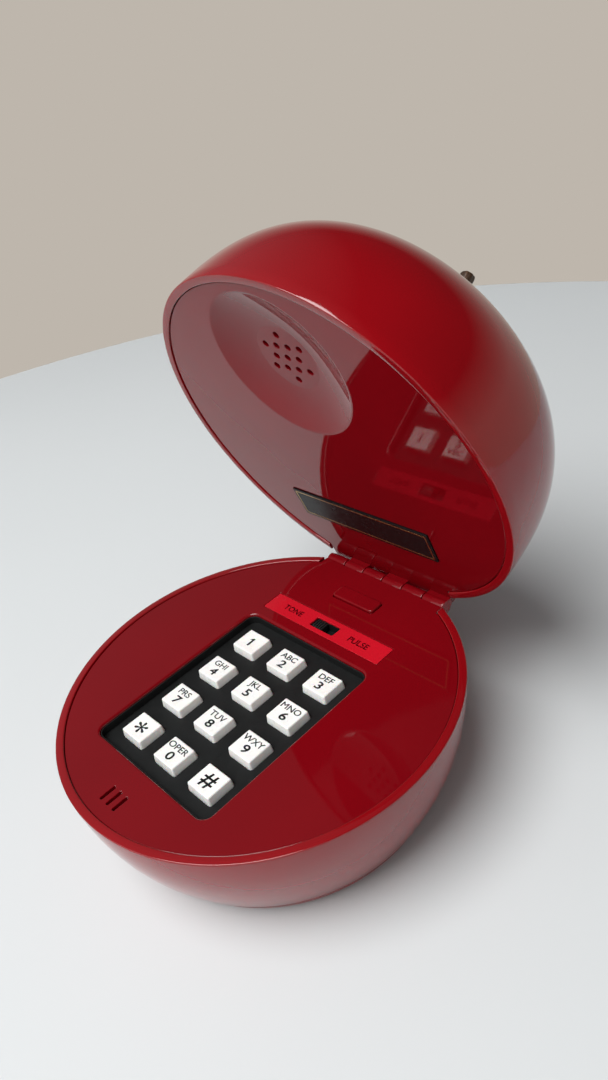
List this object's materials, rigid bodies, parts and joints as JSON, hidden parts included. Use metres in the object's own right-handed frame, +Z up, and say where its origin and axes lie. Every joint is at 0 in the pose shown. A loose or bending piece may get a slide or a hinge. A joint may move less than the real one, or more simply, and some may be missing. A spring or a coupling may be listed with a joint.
{
  "type": "novelty clamshell telephone",
  "caption": "Fruit-shaped clamshell desk telephone: hinged lid with an earpiece, base with a push-button keypad, mode slider, hook button and mouthpiece.",
  "frame": {"origin": "centre of the rubber pad's underside, on the table under the centre of the base", "axes": "+Z up; the mouthpiece faces -Y and the hinge and line jack are at +Y; +X is the keypad's right side; the lid is at its open stop at rest"},
  "size_m": [0.131, 0.1908, 0.1676],
  "materials": {
    "shell_red": "high gloss, moulded-in red",
    "plate_red": "mirror gloss dark red",
    "key_white": "satin white with printed black legends",
    "panel_black": "satin black",
    "mat_rubber": "grey silicone",
    "board_green": "paper laminate",
    "screw_steel": "plated",
    "pin_steel": "bright",
    "strip_red": "gloss red with faint grey words",
    "switch_black": "black",
    "slider_black": "black",
    "hook_red": "gloss red",
    "boot_rubber": "black",
    "capsule_metal": "bright",
    "component_mix": "mixed components",
    "ballast_steel": "plain",
    "ringer_brass": "plain",
    "jack_plastic": "black",
    "pad_rubber": "black",
    "badge_black": "black with a thin gold border",
    "stem_brown": "dark brown",
    "gasket_foam": "black foam",
    "receiver_metal": "capsule",
    "cap_plastic": "black"
  },
  "bodies": {
    "base": {"lower_shell": "shell_red", "key_plate": "plate_red", "key_panel": "panel_black", "contact_mat": "mat_rubber", "keypad_board": "board_green", "keypad_screws": "screw_steel", "switch_strip": "strip_red", "mode_switch": "switch_black", "hook_switch": "switch_black", "mic_boot": "boot_rubber", "mic_capsule": "capsule_metal", "main_board": "board_green", "board_parts": "component_mix", "board_screws": "screw_steel", "case_screws": "screw_steel", "ballast_plate": "ballast_steel", "ringer_disc": "ringer_brass", "line_jack": "jack_plastic", "base_pad": "pad_rubber", "hinge_pin": "pin_steel"},
    "lid": {"upper_shell": "shell_red", "ear_plate": "plate_red", "nameplate": "badge_black", "stem": "stem_brown", "stem_screw": "screw_steel", "lid_screws": "screw_steel", "receiver_gasket": "gasket_foam", "receiver": "receiver_metal", "receiver_cap": "cap_plastic"},
    "mode_slider": {"mode_slider": "slider_black"},
    "hook_button": {"hook_button": "hook_red"},
    "key_1": {"key_1": "key_white"},
    "key_2": {"key_2": "key_white"},
    "key_3": {"key_3": "key_white"},
    "key_4": {"key_4": "key_white"},
    "key_5": {"key_5": "key_white"},
    "key_6": {"key_6": "key_white"},
    "key_7": {"key_7": "key_white"},
    "key_8": {"key_8": "key_white"},
    "key_9": {"key_9": "key_white"},
    "key_star": {"key_star": "key_white"},
    "key_0": {"key_0": "key_white"},
    "key_hash": {"key_hash": "key_white"}
  },
  "joints": [
    {"name": "lid_hinge", "type": "hinge", "parent": "base", "child": "lid", "pos_m": [0, 0.0618, 0.0406], "axis": [1, 0, 0], "range_deg": [0, 73]},
    {"name": "mode_slide", "type": "slide", "parent": "base", "child": "mode_slider", "axis": [1, 0, 0], "range_m": [0, 0.0056]},
    {"name": "hook_press", "type": "slide", "parent": "base", "child": "hook_button", "axis": [0, 0, -1], "range_m": [0, 0.002], "stiffness_N_per_m": 250, "springref_m": -0.0015},
    {"name": "key_1_press", "type": "slide", "parent": "base", "child": "key_1", "axis": [0, 0, -1], "range_m": [0, 0.0012], "stiffness_N_per_m": 300, "springref_m": -0.001},
    {"name": "key_2_press", "type": "slide", "parent": "base", "child": "key_2", "axis": [0, 0, -1], "range_m": [0, 0.0012], "stiffness_N_per_m": 300, "springref_m": -0.001},
    {"name": "key_3_press", "type": "slide", "parent": "base", "child": "key_3", "axis": [0, 0, -1], "range_m": [0, 0.0012], "stiffness_N_per_m": 300, "springref_m": -0.001},
    {"name": "key_4_press", "type": "slide", "parent": "base", "child": "key_4", "axis": [0, 0, -1], "range_m": [0, 0.0012], "stiffness_N_per_m": 300, "springref_m": -0.001},
    {"name": "key_5_press", "type": "slide", "parent": "base", "child": "key_5", "axis": [0, 0, -1], "range_m": [0, 0.0012], "stiffness_N_per_m": 300, "springref_m": -0.001},
    {"name": "key_6_press", "type": "slide", "parent": "base", "child": "key_6", "axis": [0, 0, -1], "range_m": [0, 0.0012], "stiffness_N_per_m": 300, "springref_m": -0.001},
    {"name": "key_7_press", "type": "slide", "parent": "base", "child": "key_7", "axis": [0, 0, -1], "range_m": [0, 0.0012], "stiffness_N_per_m": 300, "springref_m": -0.001},
    {"name": "key_8_press", "type": "slide", "parent": "base", "child": "key_8", "axis": [0, 0, -1], "range_m": [0, 0.0012], "stiffness_N_per_m": 300, "springref_m": -0.001},
    {"name": "key_9_press", "type": "slide", "parent": "base", "child": "key_9", "axis": [0, 0, -1], "range_m": [0, 0.0012], "stiffness_N_per_m": 300, "springref_m": -0.001},
    {"name": "key_star_press", "type": "slide", "parent": "base", "child": "key_star", "axis": [0, 0, -1], "range_m": [0, 0.0012], "stiffness_N_per_m": 300, "springref_m": -0.001},
    {"name": "key_0_press", "type": "slide", "parent": "base", "child": "key_0", "axis": [0, 0, -1], "range_m": [0, 0.0012], "stiffness_N_per_m": 300, "springref_m": -0.001},
    {"name": "key_hash_press", "type": "slide", "parent": "base", "child": "key_hash", "axis": [0, 0, -1], "range_m": [0, 0.0012], "stiffness_N_per_m": 300, "springref_m": -0.001}
  ]
}
